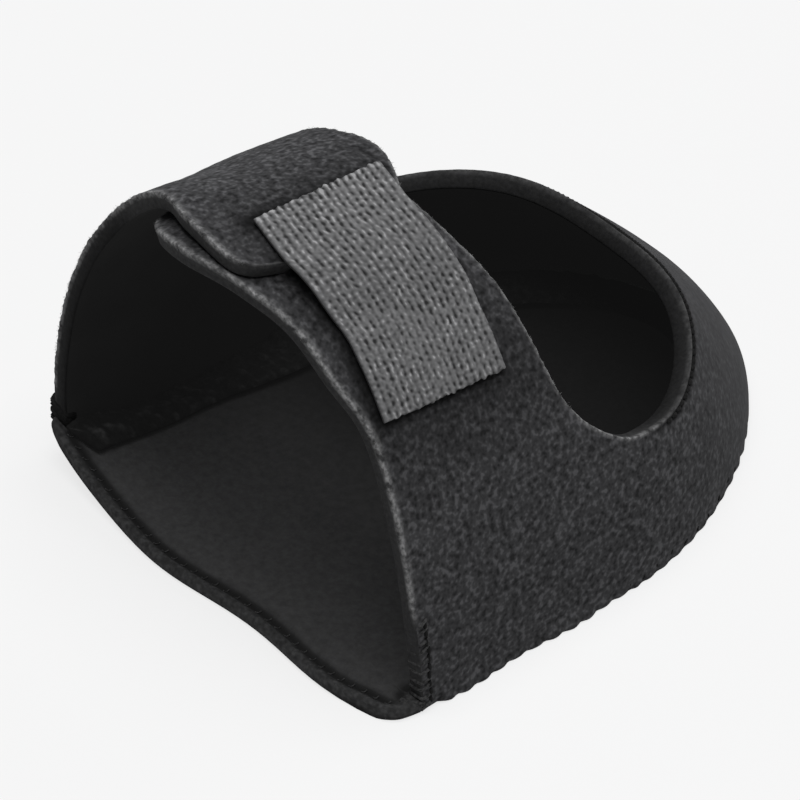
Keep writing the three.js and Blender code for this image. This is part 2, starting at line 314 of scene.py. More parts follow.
def cut_profile(thickness, radius, corner_steps=2, face_steps=3):
    """Inset and depth of a cut edge's rounded section, from the outside to the inside."""
    turn = np.linspace(0, np.pi / 2, corner_steps + 1)[1:]
    inset, depth = radius * (1 - np.sin(turn)), radius * (1 - np.cos(turn))
    face = np.linspace(radius, thickness - radius, face_steps + 1)[1:-1]
    insets = np.concatenate([inset, np.zeros(len(face)), inset[::-1]])
    depths = np.concatenate([depth, face, thickness - depth[::-1]])
    return insets, depths


def ring_faces(rings, sides):
    """Quads between closed rings of points, one ring after the other."""
    ring = np.arange(sides)
    start = np.arange(rings - 1)[:, None] * sides
    here, beside = start + ring, start + np.roll(ring, -1)
    return np.stack([here, beside, beside + sides, here + sides], -1).reshape(-1, 4)


def panel_layout(widths, ends, mesh, thickness):
    """A cloth panel with rounded cut edges, as closed rings across it.

    widths holds each ring's width and ends its distance from the nearer end. The mesh's columns are a
    multiple of its inner columns. Gives each point's distance across and depth, the faces and their zones.
    """
    outer, inner, radius = mesh.columns, mesh.inner_columns, mesh.edge_radius
    insets, depths = cut_profile(thickness, radius)
    flat = widths[:, None] - 2 * radius
    across = np.hstack([
        radius + flat * np.linspace(0, 1, outer + 1),
        widths[:, None] - insets,
        radius + flat * np.linspace(1, 0, inner + 1),
        np.tile(insets[::-1], (len(widths), 1)),
    ])
    ring_depth = np.concatenate(
        [np.zeros(outer + 1), depths, np.full(inner + 1, thickness), depths[::-1]]
    )
    shut = radius - np.sqrt(radius**2 - np.clip(radius - ends, 0, radius) ** 2)
    depth = np.clip(ring_depth, shut[:, None], thickness - shut[:, None])

    count = across.shape[1]
    faces = ring_faces(len(widths), count)[:, [0, 3, 2, 1]].tolist()
    ring_zones = np.full(count, CUT)
    ring_zones[:outer] = OUTSIDE
    inner_start = outer + 1 + len(insets)
    ring_zones[inner_start:inner_start + inner] = INSIDE
    closing = np.maximum(shut[:-1], shut[1:]) > 0
    zones = np.where(closing[:, None], CUT, ring_zones).ravel().tolist()

    share = outer // inner
    for first, turn in ((0, 1), ((len(widths) - 1) * count, -1)):
        for k in range(inner):
            face = list(range(k * share, (k + 1) * share + 1))
            if k == inner - 1:
                face += range(outer + 1, inner_start)
            face += [inner_start + inner - k - 1, inner_start + inner - k]
            if k == 0:
                face += range(inner_start + inner + 1, count)
            faces.append([first + corner for corner in face[::turn]])
            zones.append(CUT)
    return across, depth, faces, zones


def rounding(radius, steps):
    """Places over the rounded end of a panel."""
    return radius * (1 - np.cos(np.linspace(0, np.pi / 2, steps + 1)))[:-1]


def end_stations(length, spacing, radius):
    """Places along a panel, closer at its two ends where its edge is rounded."""
    end = rounding(radius, steps=3)
    middle = np.linspace(radius, length - radius, int(round((length - 2 * radius) / spacing)) + 1)
    return np.concatenate([end, middle, (length - end)[::-1]])


def make_piece(name, points, faces, finishes, zones=None, *, stands_for=None, marks=None):
    """A smooth mesh piece that rides on the part, with marks at its points for its finishes."""
    points = np.asarray(points, float).reshape(-1, 3) + (0, CENTRE_Y, 0)
    mesh = bpy.data.meshes.new(name)
    mesh.from_pydata((points * MM).tolist(), [], faces)
    for finish in finishes:
        mesh.materials.append(finish)
    if zones is not None:
        mesh.polygons.foreach_set("material_index", zones)
    mesh.polygons.foreach_set("use_smooth", [True] * len(mesh.polygons))
    for mark, values in (marks or {}).items():
        mesh.attributes.new(mark, "FLOAT", "POINT").data.foreach_set("value", np.ravel(values))
    mesh.validate()
    mesh.update()
    piece = bpy.data.objects.new(name, mesh)
    scene.collection.objects.link(piece)
    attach(piece, "root")
    if stands_for:
        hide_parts(stands_for)
    return piece


# Finishes

# painted glow: the linings and the seam glow faintly, standing in for the light that scatters over them
HAZE = 0.0055    # the little light that scatters over the black linings
SEAM_HAZE = 0.86    # the share of it on the seam
COOL = 1.01    # the greys lean a little to blue
WHITE = (1, 1, 1, 1)


class Finish:
    """A material's nodes, with short calls to add nodes and to join them."""

    def __init__(self, name, **surface):
        self.material = bpy.data.materials.new(name)
        self.material.use_nodes = True
        self.tree = self.material.node_tree
        self.surface = self.tree.nodes["Principled BSDF"]
        self.set_inputs(self.surface, surface)
        self.place = self.add("ShaderNodeTexCoord").outputs["Object"]

    def set_inputs(self, node, inputs):
        for name, value in inputs.items():
            self.put(node.inputs[name.replace("_", " ")], value)

    def put(self, socket, value):
        if isinstance(value, bpy.types.NodeSocket):
            self.tree.links.new(value, socket)
        else:
            socket.default_value = value

    def add(self, kind, settings=None, **inputs):
        node = self.tree.nodes.new(kind)
        for name, value in (settings or {}).items():
            setattr(node, name, value)
        self.set_inputs(node, inputs)
        return node

    def specks(self, size, detail=1.0, roughness=0.5):
        """Cloudy noise with specks of that size in mm."""
        scale = 1 / (size * MM)
        texture = self.add(
            "ShaderNodeTexNoise", Vector=self.place, Scale=scale, Detail=detail, Roughness=roughness
        )
        return texture.outputs[0]

    def mark(self, name):
        return self.add("ShaderNodeAttribute", {"attribute_name": name}).outputs["Fac"]

    def shades(self, factor, *stops):
        """Greys through (place, brightness) stops."""
        ramp = self.add("ShaderNodeValToRGB", Fac=factor)
        elements = ramp.color_ramp.elements
        while len(elements) < len(stops):
            elements.new(0.5)
        for element, (place, grey) in zip(elements, stops):
            element.position = place
            element.color = (grey, grey, grey * COOL, 1)
        return ramp.outputs["Color"]

    def times(self, a, b):
        node = self.add("ShaderNodeMath", {"operation": "MULTIPLY", "use_clamp": True})
        self.put(node.inputs[0], a)
        self.put(node.inputs[1], b)
        return node.outputs[0]

    def blend(self, factor, a, b, how="MIX"):
        node = self.add("ShaderNodeMix", {"data_type": "RGBA", "blend_type": how})
        for socket, value in zip((0, 6, 7), (factor, a, b)):
            self.put(node.inputs[socket], value)
        return node.outputs[2]

    def shaded(self, color, shade):
        return self.blend(1, color, shade, "MULTIPLY")

    def done(self, color, height, relief, strength):
        """Joins the colour, and a bump of that relief in mm."""
        bump = self.add("ShaderNodeBump", Height=height, Distance=relief * MM, Strength=strength)
        self.set_inputs(self.surface, {"Base_Color": color, "Normal": bump.outputs[0]})
        return self.material


def frayed_edge(finish, base):
    """Lets a light, broken line of frayed fibres show over a base along the cut edges."""
    broken = finish.shades(finish.specks(1.5, detail=2), (0.34, 0.1), (0.5, 0.8), (0.6, 1))
    light = finish.shades(finish.specks(0.6), (0.3, 0.10), (0.7, 0.27))
    return finish.blend(finish.times(finish.mark("fray"), broken), base, light)


def pile_finish():
    finish = Finish("looped_pile", Roughness=1, Specular_IOR_Level=0.15)
    loops = finish.specks(1.0, detail=1.2, roughness=0.5)
    mottle = finish.shades(loops, (0.30, 0.016), (0.42, 0.032), (0.55, 0.044), (0.68, 0.078))
    even = finish.shades(finish.specks(0.9), (0.3, 0.044), (0.7, 0.058))
    cloth = finish.blend(finish.mark("stretch"), mottle, even)
    patches = finish.shades(finish.specks(5, detail=2), (0.3, 0.82), (0.7, 1))
    cloth = finish.shaded(cloth, patches)
    # the pile's painted light and shade: a painted sheen on the strap's far shoulder, painted shade in the
    # rim's stitched groove, and the tape's painted shadow beside its edges
    for mark, least, most in (("crest", 1.02, 1.42), ("groove", 1, 0.03), ("tape_shadow", 1, 0.12)):
        cloth = finish.shaded(cloth, finish.shades(finish.mark(mark), (0, least), (1, most)))
    height = finish.times(loops, finish.shades(finish.mark("stretch"), (0, 1), (1, 0.2)))
    return finish.done(frayed_edge(finish, cloth), height, 0.3, 0.5)


def cut_finish():
    finish = Finish("cut_edge", Roughness=1, Specular_IOR_Level=0.1)
    fibres = finish.specks(0.7, detail=2, roughness=0.6)
    foam = finish.shades(fibres, (0.3, 0.021), (0.7, 0.036))
    # painted shade: the cut face darkens towards the inside on the rim and the far front edge
    shade = finish.shades(finish.mark("deep"), (0, 0.92), (0.35, 0.52), (1, 0.3))
    return finish.done(frayed_edge(finish, finish.shaded(foam, shade)), fibres, 0.15, 0.5)


def hazy_finish(name, haze):
    """A dull black cloth with a faint painted glow over it, standing in for scattered light."""
    return Finish(
        name, Roughness=1, Specular_IOR_Level=0.1, Emission_Color=WHITE, Emission_Strength=haze
    )


def lining_finish():
    finish = hazy_finish("jersey_lining", HAZE)
    shading = finish.shades(finish.specks(9, detail=3), (0.35, 0.004), (0.65, 0.006))
    return finish.done(shading, finish.specks(0.6), 0.1, 0.4)


def sole_finish():
    finish = hazy_finish("sole_lining", HAZE)
    knit = finish.specks(1.3, detail=2.5, roughness=0.7)
    front = finish.shades(knit, (0.3, 0.028), (0.7, 0.045))
    # painted shade: the lining's colour towards the heel, darker where little light falls
    heel = finish.shades(knit, (0.3, 0.0015), (0.7, 0.003))
    plain = finish.blend(finish.mark("heel"), front, heel)
    band = finish.shades(finish.specks(0.9, detail=2), (0.3, 0.013), (0.5, 0.025), (0.7, 0.043))
    cloth = finish.blend(finish.mark("hem"), plain, band)
    # painted shade in the hem's groove and low on the sole's edge
    shade = finish.shades(finish.mark("hem_shade"), (0, 1), (0.5, 0.35), (1, 0.08))
    return finish.done(finish.shaded(cloth, shade), finish.specks(0.7), 0.12, 0.5)


def thread_finish(name, dark, light):
    finish = Finish(name, Roughness=0.9, Specular_IOR_Level=0.2)
    twist = finish.specks(0.5)
    return finish.done(finish.shades(twist, (0.35, dark), (0.7, light)), twist, 0.1, 0.5)


def seam_finish():
    finish = hazy_finish("seam_thread", HAZE * SEAM_HAZE)
    tangle = finish.specks(0.8, detail=2)
    dark = finish.shades(tangle, (0.35, 0.002), (0.7, 0.006))
    # painted highlight: the knots' lighter colour
    light = finish.shades(tangle, (0.35, 0.014), (0.7, 0.035))
    return finish.done(finish.blend(finish.mark("knot"), dark, light), tangle, 0.2, 0.6)


def tape_finish():
    finish = Finish("hook_tape", Roughness=0.9, Specular_IOR_Level=0.2)
    # the colour follows the relief: partly the weave's own pattern, partly painted shade in its pits and
    # painted highlights on its highest yarn
    tones = [(0.0, 0.018), (0.3, 0.073), (0.55, 0.12), (0.8, 0.165), (1, 0.29)]
    shaded_yarn = finish.shades(finish.mark("relief"), *tones)
    uneven = finish.shades(finish.specks(2.4, detail=2), (0.3, 0.82), (0.7, 1))
    fibre = finish.specks(0.35, detail=1)
    return finish.done(finish.shaded(shaded_yarn, uneven), fibre, 0.06, 0.5)


# The upper


def pattern(spans):
    """Edge and rim points of the cut pattern at places counted in rows, with sharp corners at the foot."""
    near, far = FLAP_ROWS + NEAR_HEEL_ROWS, FAR_HEEL_ROWS + STRAP_ROWS
    rows = np.array(near + [(WHOLE_RUN - a, b, WHOLE_RUN - c, d) for a, b, c, d in far], float)
    edge = np.empty((len(spans), 2))
    for first, last in ((0, FLAP_FOOT), (FLAP_FOOT, STRAP_FOOT), (STRAP_FOOT, LAST_ROW)):
        leg = (spans >= first) & (spans <= last)
        edge[leg] = spline(rows[first:last + 1, :2], spans[leg] - first)
    return edge, spline(rows[:, 2:], spans)


PILE = Sizes(spacing=0.55, columns=72, inner_columns=18, edge_radius=0.3, row_steps=60)
PILE_RELIEF = Sizes(tufts=0.07, tuft=1.3, waves=0.25, wave=14, edge=1.5)
FOOT_BULGE = Sizes(mean=0.55, swing=0.35, first=14.4, length=21.6, starts=(6, 10), ends=(38, 50))
SCALLOP = Sizes(pitch=3.8, depth=0.4, height=3.5, lift=0.2, lift_height=1.5)
CORNER_LIFT = Sizes(rise=0.7, reach=6, height=4)    # the foot's near front corner is rounded off
STRETCHED = Sizes(along=(60, 105), share=0.9)    # where on the heel the pile is drawn even
FRAY = Sizes(edge=0.8, rim=0.35, depth=0.6, lumps=0.28, lump=0.9)
RIM_GROOVE = Sizes(inset=0.75, half=0.65, depth=0.35, near=(54, 68), far=(214, 200))
RIM_SWELL = Sizes(share=0.2, reach=2.5)    # the cloth is fuller at the rim
FAR_EDGE_SHADE = (60, 70)    # up to these heights, the far front cut edge has painted shade towards the inside
WRAPPED = Sizes(near=(18, 21), far=(9, 12))    # heights over which the bound front corners end
TAPE_SHADOW_WITHIN = 45    # the tape and the pile beside it lie inside this
SHOULDER_SHEEN = Sizes(up=72, spread=14, along=14, across=22)    # painted sheen: the strap's far shoulder is painted paler
STRAP_END = Sizes(up=(96, 99), left=0.2)    # the strap's own end frays less


def pattern_stations(spacing, radius):
    """Rows of the panel's mesh, counted in pattern rows, about evenly spaced on the cloth."""
    fine = np.linspace(0, LAST_ROW, LAST_ROW * PILE.row_steps + 1)
    travelled = travel(*pattern(fine))
    stations = end_stations(travelled[-1], spacing, radius)
    spans = np.interp(stations, travelled, fine)
    for corner in (FLAP_FOOT, STRAP_FOOT):
        spans[np.argmin(abs(spans - corner))] = corner
    return spans, np.minimum(stations, travelled[-1] - stations)


def rim_share(run):
    """1 along the stitched rim of the heel, 0 on the flap and the strap."""
    return rising(run, *RIM_GROOVE.near) * rising(run, *RIM_GROOVE.far)


def fray_share(run, up):
    """How much light fray shows: none on the bound corners, little on the strap's end and the rim."""
    on_near = (1 - rising(up, *WRAPPED.near)) * (run < SIDE_LENGTH / 2)
    on_far = (1 - rising(up, *WRAPPED.far)) * (run > WHOLE_RUN - SIDE_LENGTH / 2)
    on_end = rising(up, *STRAP_END.up) * (run > HEEL_BACK)
    bare = 1 - STRAP_END.left
    return (1 - on_near) * (1 - on_far) * (1 - on_end * bare) * (1 - rim_share(run) * bare)


def tape_shadow_share(points):
    """Painted shadow of the tape: 1 on the pile at the tape's edges, falling off away from them."""
    tape_shadow = np.zeros(points.shape[:-1])
    edges = tape_edges()
    middle = np.concatenate([edge for edge, _, _ in edges]).mean(0)
    close = np.linalg.norm(points - middle, axis=-1) < TAPE_SHADOW_WITHIN
    for edge, reach, share in edges:
        gap = np.sqrt(((points[close][:, None] - edge) ** 2).sum(-1).min(1))
        tape_shadow[close] = np.maximum(tape_shadow[close], share * (1 - smooth(gap / reach)))
    return tape_shadow


def upper_piece(finishes):
    radius = PILE.edge_radius
    spans, ends = pattern_stations(PILE.spacing, radius)
    edge, rim = pattern(spans)
    widths = np.linalg.norm(rim - edge, axis=1)
    across, depth, faces, zones = panel_layout(widths, ends, PILE, CLOTH)
    place = edge[:, None] + (rim - edge)[:, None] * (across / widths[:, None])[..., None]
    run, up = place[..., 0], np.maximum(place[..., 1], 0)
    points, normals = wall(run, up)

    on_foot = ((spans > FLAP_FOOT) & (spans < STRAP_FOOT))[:, None]
    from_rim = widths[:, None] - across
    free_edge = np.minimum(np.where(on_foot, np.inf, across), np.minimum(from_rim, ends[:, None]))
    fray_gap = np.where(free_edge < from_rim, free_edge / FRAY.edge, from_rim / FRAY.rim)
    fray = bell(fray_gap) * bell(depth / FRAY.depth) * fray_share(run, up)

    outside = np.clip(1 - depth / radius, 0, 1)
    stretch = STRETCHED.share * rising(from_front(run), *STRETCHED.along)
    tufts = PILE_RELIEF.tufts * grain(points, PILE_RELIEF.tuft) * (1 - stretch)
    waves = PILE_RELIEF.waves * grain(points, PILE_RELIEF.wave)
    stitch = (1 - abs(np.sin(np.pi * run / SCALLOP.pitch))) * on_foot
    on_near_side = rising(run, *FOOT_BULGE.starts) * (1 - rising(run, *FOOT_BULGE.ends))
    swing = FOOT_BULGE.swing * np.cos(2 * np.pi * (run - FOOT_BULGE.first) / FOOT_BULGE.length)
    bulge = (FOOT_BULGE.mean + swing) * on_near_side * on_foot
    scallop = (SCALLOP.depth * stitch - bulge) * (1 - smooth(up / SCALLOP.height))
    lumps = FRAY.lumps * fray * grain(points, FRAY.lump)
    # painted shade in the rim's stitched groove, which also stands for part of its dark stitch line
    groove = bell((from_rim - RIM_GROOVE.inset) / RIM_GROOVE.half) * rim_share(run) * outside
    pile = (tufts + waves) * smooth(free_edge / PILE_RELIEF.edge)
    surface = pile - scallop - RIM_GROOVE.depth * groove
    swell = 1 + RIM_SWELL.share * rim_share(run) * bell(from_rim / RIM_SWELL.reach)
    rise = strap_lift(run, up) - depth * swell + lumps + outside * surface
    points = points + normals * rise[..., None]
    points[..., 2] += SCALLOP.lift * stitch * (1 - smooth(up / SCALLOP.lift_height))
    near_corner = 1 - smooth((run - FLAP_ROWS[FLAP_FOOT][0]) / CORNER_LIFT.reach)
    points[..., 2] += CORNER_LIFT.rise * near_corner * (1 - smooth(up / CORNER_LIFT.height))

    # painted shade on the cut faces of the rim and the far front edge, deeper towards the inside
    far_front = (run > WHOLE_RUN - SIDE_LENGTH / 2) * (1 - rising(up, *FAR_EDGE_SHADE))
    deep = depth / CLOTH * np.maximum(rim_share(run), far_front)
    # painted sheen on the strap's far shoulder
    crest = bell((up - SHOULDER_SHEEN.up) / SHOULDER_SHEEN.spread) * (run > HEEL_BACK)
    crest = crest * bell((WHOLE_RUN - run - SHOULDER_SHEEN.along) / SHOULDER_SHEEN.across)
    return make_piece(
        "upper_cloth", curled(points), faces, finishes, zones,
        stands_for="upper", marks={
            "fray": fray, "stretch": stretch, "groove": groove, "deep": deep, "crest": crest,
            # the tape's painted shadow on the pile
            "tape_shadow": tape_shadow_share(points) * outside,
        },
    )


# The sole


def sole_edge(along):
    """Edge of the sole at a place along the wall, where it meets the wall's inside."""
    along = np.asarray(along, float)
    inset = SOLE_INSET + HEEL_LEAN * heel_share(along)
    foot = np.zeros_like(along)
    return (form_points(along, foot) - form_normals(along, foot) * inset[..., None])[..., :2]


def sole_rows(a):
    """Plan points of the sole's rows, front first, at places a from -1 (far) to 1 (near)."""
    rows = []
    wave = SOLE_WAVE.reach * np.sin(2 * np.pi * a / SOLE_WAVE.length) * (1 - a * a)
    for near_x, near_y, far_x, far_y, bow in SOLE_FRONT_ROWS:
        half = (a + 1) / 2
        y = mix(far_y, near_y, half) + bow * (1 - a**SOLE_BOW_POWER) + wave
        rows.append(np.stack([mix(-far_x, near_x, half), y], -1))
    last_along = SOLE_ALONGS[-1]
    end = sole_edge(mix(HEEL_BACK, last_along, abs(a)))
    end_reach = end[..., 1] - sole_edge(last_along)[1]
    for along in SOLE_ALONGS[:-1]:
        edge_x, edge_y = sole_edge(along)
        bow = np.clip((along - SIDE_LENGTH / 2) / (last_along - SIDE_LENGTH / 2), 0, 1) ** 2
        rows.append(np.stack([a * edge_x, edge_y + bow * end_reach], -1))
    rows.append(np.stack([np.sign(a) * end[..., 0], end[..., 1]], -1))
    return np.array(rows)


def eased(rows, spans):
    """Curves through rows of points that never overshoot them, at places counted in rows."""
    rise = np.diff(rows, axis=0)
    product, total = rise[:-1] * rise[1:], rise[:-1] + rise[1:]
    slope = np.zeros_like(rows)
    slope[1:-1] = np.where(product > 0, 2 * product / np.where(product > 0, total, 1), 0)
    slope[0], slope[-1] = rise[0], rise[-1]
    first = np.clip(np.floor(spans).astype(int), 0, len(rows) - 2)
    each = np.arange(rows.shape[1])
    t = (spans - first).reshape(-1, *[1] * (rows.ndim - 2))
    return hermite(rows[first, each], rows[first + 1, each], slope[first, each], slope[first + 1, each], t)


HEM = Sizes(
    width=2.0, rise=0.35, groove=2.3, groove_width=0.8, groove_depth=0.55, dark_line=2.5,
    near=(39.5, 42.5),
)
LIP_UNDER_SHADE = Sizes(shade=0.8, depths=(0.45, 0.85))    # painted shade: the sole's edge is darker lower down, near the floor
SOLE_MESH = Sizes(
    columns=150, inner_columns=30, edge_radius=0.9, edge_steps=5, fine=0.3, fine_depth=7, rest=62,
    row_steps=80,
)
SOLE_WAVINESS = Sizes(rise=0.12, size=9)
SOLE_HEEL_SHADE = (-38, 0)    # painted shade: the lining is darker towards the heel
LIP_SPANS = 3.6    # rows of the sole that its lip's ends reach back over
LIP_STEPS = Sizes(end=60, front=240)
LIP_BACK = -38    # the lip lies in front of this


def lip_line():
    """The front edge of the sole in plan, round both its front corners."""
    steps = LIP_STEPS.end
    spans = np.linspace(LIP_SPANS, 0, steps)
    ends = [eased(sole_rows(np.full((steps, 1), side)), spans)[:, 0] for side in (-1.0, 1.0)]
    across = np.linspace(-1, 1, LIP_STEPS.front)
    front = sole_rows(across[:, None])[0][:, 0]
    return np.concatenate([ends[0], front, ends[1][::-1]])


def sole_piece(finishes):
    radius = SOLE_MESH.edge_radius
    last_row = len(SOLE_FRONT_ROWS) + len(SOLE_ALONGS) - 1
    fine_spans = np.linspace(0, last_row, last_row * SOLE_MESH.row_steps + 1)
    middle = eased(sole_rows(np.zeros((len(fine_spans), 1))), fine_spans)[:, 0, 1]
    behind_lip = middle - middle[0]
    fine = np.arange(radius, SOLE_MESH.fine_depth, SOLE_MESH.fine)
    rest = np.linspace(SOLE_MESH.fine_depth, behind_lip[-1], SOLE_MESH.rest)
    stations = np.concatenate([rounding(radius, SOLE_MESH.edge_steps), fine, rest])[::-1]
    spans = np.interp(stations, behind_lip, fine_spans)
    widths = np.full(len(spans), 2 * HALF_WIDTH)
    across, depth, faces, zones = panel_layout(widths, stations, SOLE_MESH, SOLE_THICK)
    a = across / HALF_WIDTH - 1
    plan = eased(sole_rows(a), spans)
    lip = lip_line()
    gap = np.full(plan.shape[:-1], np.inf)
    near = plan[..., 1] < LIP_BACK
    gap[near] = np.sqrt(((plan[near][:, None] - lip) ** 2).sum(-1).min(1))
    bead = HEM.rise * np.sqrt(np.clip(1 - (2 * gap / HEM.width - 1) ** 2, 0, 1))
    hemmed = 1 - rising(plan[..., 0], *HEM.near)
    groove = hemmed * bell((gap - HEM.groove) / HEM.groove_width)
    base = np.concatenate([plan, np.zeros((*gap.shape, 1))], -1)
    on_top = np.clip(1 - depth / SOLE_THICK, 0, 1)
    waves = SOLE_WAVINESS.rise * grain(base, SOLE_WAVINESS.size)
    base[..., 2] = SOLE_THICK - depth + on_top * (bead - HEM.groove_depth * groove + waves)
    base[..., 2] = np.maximum(base[..., 2], 0)
    hem = 1 - smooth((gap - HEM.width) / HEM.groove_width)
    # painted shade in the hem's groove
    dark_line = hemmed * bell((gap - HEM.dark_line) / HEM.groove_width)
    # painted shade low on the sole's edge, towards the floor
    under_shade = LIP_UNDER_SHADE.shade * rising(depth / SOLE_THICK, *LIP_UNDER_SHADE.depths)
    # painted shade, darker towards the heel
    heel = rising(plan[..., 1], *SOLE_HEEL_SHADE)
    return make_piece(
        "sole_panel", curled(base), faces, finishes, zones, stands_for="sole",
        marks={"hem": hem, "hem_shade": np.maximum(dark_line * on_top, under_shade), "heel": heel},
    )


# Threads


def tube_faces(rings, sides):
    """Faces of a closed tube: quads between its rings of points, and its two ends."""
    end = np.arange(sides)
    return [*ring_faces(rings, sides).tolist(), end[::-1].tolist(), (end + (rings - 1) * sides).tolist()]


def tubes(paths, radius, sides=6):
    """Points and faces of round tubes along paths, all with the same number of points."""
    paths = np.asarray(paths, float)
    tangent = unit(np.gradient(paths, axis=1))
    helper = np.where(abs(tangent[..., 2:]) > 0.9, [1.0, 0, 0], [0, 0, 1.0])
    first = unit(np.cross(tangent, helper))
    second = np.cross(tangent, first)
    turn = np.arange(sides) * 2 * np.pi / sides
    radius = np.broadcast_to(radius, paths.shape[:2])[..., None, None]
    ring = first[..., None, :] * np.cos(turn)[:, None] + second[..., None, :] * np.sin(turn)[:, None]
    points = paths[..., None, :] + radius * ring
    count, steps = paths.shape[:2]
    one = tube_faces(steps, sides)
    starts = range(0, count * steps * sides, steps * sides)
    return points.reshape(-1, 3), [[start + corner for corner in face] for start in starts for face in one]


def joined(*parts):
    """One list of points and faces from several."""
    points, faces, start = [], [], 0
    for part_points, part_faces in parts:
        points.append(part_points)
        faces += [[corner + start for corner in face] for face in part_faces]
        start += len(part_points)
    return np.concatenate(points), faces


SEAM = Sizes(near=9, far=-1, spacing=0.45, sides=20, near_taper=14, far_taper=2.5, least=0.06)
SEAM_DRIFT = Sizes(most=3.2, along=(22, 46))    # the ridge widens inwards along the far side
SEAM_SECTION = [    # depth in from the wall's outside and height up it, round the ridge
    (3.3, 2.9), (6.5, 2.9), (9.4, 3), (10, 3.5), (9.6, 4.2), (8.8, 4.7),
    (7.9, 4.9), (6.8, 4.7), (5.6, 4.5), (4.4, 4.5), (3.3, 4.7),
]
SEAM_MIDDLE = 3.1
SEAM_LUMPS = Sizes(rise=0.5, size=2.2, knot_rise=0.8, knot=1.3, knot_from=0.08)
SEAM_LIGHT = Sizes(    # painted highlights on the knots at the ridge's top, which fade away from the far front
    gain=3, high=0.5, off_wall=1.5, drift=0.8, fade=45, faded=0.65,
)


def seam_piece(finish):
    """The ridge in the corner of the sole, lumpy with overlock thread."""
    first, last = SEAM.near, WHOLE_RUN - SEAM.far
    sides = SEAM.sides
    run = np.arange(first, last, SEAM.spacing)[:, None] + np.zeros(sides)
    closed = np.array(SEAM_SECTION + SEAM_SECTION[:1])
    deep, high = along_path(closed, np.arange(sides) / sides * travel(closed)[-1]).T
    above = high - SEAM_MIDDLE
    at = np.stack(np.broadcast_arrays(run, deep, high), -1)
    knots = np.maximum(grain(at, SEAM_LUMPS.knot) - SEAM_LUMPS.knot_from, 0)
    lumps = SEAM_LUMPS.rise * grain(at + WHOLE_RUN, SEAM_LUMPS.size) + SEAM_LUMPS.knot_rise * knots
    taper = smooth((run - first) / SEAM.near_taper) * smooth((last - run) / SEAM.far_taper)
    shrink = mix(SEAM.least, 1, taper)
    height = above + lumps * np.maximum(above, 0)
    up = SEAM_MIDDLE + height * shrink + HEEL_LEAN * heel_share(run)
    from_far = WHOLE_RUN - run
    drift = SEAM_DRIFT.most * rising(from_far, *SEAM_DRIFT.along)
    drift = drift * (1 - heel_share(run)) * (run > HEEL_BACK)
    reach = (deep - deep.min()) / np.ptp(deep)
    depth = deep[0] + (deep - deep[0] + drift * reach) * shrink
    ridge = curled(off_wall(run, up, -depth))
    faces = tube_faces(len(ridge), sides)
    clear_of_wall = smooth((depth - deep.min() - SEAM_LIGHT.drift * drift) / SEAM_LIGHT.off_wall)
    fading = 1 - SEAM_LIGHT.faded * smooth(from_far / SEAM_LIGHT.fade)
    on_top = (above > SEAM_LIGHT.high) * (1 - heel_share(run))
    # painted highlights on the knots at the ridge's top, clear of the wall
    lit = np.clip(SEAM_LIGHT.gain * knots, 0, 1) * on_top * clear_of_wall * fading
    return make_piece(
        "seam_ridge", ridge, faces, [finish], stands_for="sole_seam", marks={"knot": lit}
    )


ARC = np.linspace(-1, 1, 5)     # places along a stitch, from end to end
ALONG_ARC = (ARC + 1) / 2


def arched_stitches(run, up, size, sunk=0):
    """Stitches on the wall that dip at both ends."""
    return tubes(cloth_points(run, up, size.rise - size.dip * ARC**2 - sunk), size.thread)


NEAR_WRAPS = Sizes(run=4.2, inward=1, low=0.8, high=18.5, step=1.9, thread=0.36, bulge=0)
FAR_WRAPS = Sizes(run=WHOLE_RUN + 0.1, inward=-1, low=1.2, high=6.4, step=0.7, thread=0.55, bulge=1)
# In from the edge, and rise off the wall, round a thread's section
WRAP_SECTION = [(2.1, -0.2), (1.4, 0.0), (0.7, 0.02), (0.1, -0.2), (0.0, -1.5), (0.1, -2.8), (1.6, -3.1)]
WRAP_OUTER = -1    # the section's points above this rise bulge out
WRAP_SPREAD = 0.3
WRAP_SLANT = Sizes(mean=1.2, spread=1.1)
WRAP_CHAIN = Sizes(
    inset=1.7, low=1.5, high=18, pitch=1.7, length=1.4, thread=0.36, sway=0.15, rise=0.1, dip=0.35,
)
CORNER_PATH = [     # in plan, round the near front corner
    (41.2, -47.8), (42.6, -47.2), (43.5, -46.4), (43.75, -45.3), (43.6, -44), (43, -43),
]
CORNER_HEIGHTS = [0.8, 1.45, 2.1]
CORNER_THREAD = 0.5
FLOOR_CLEAR = 0.3


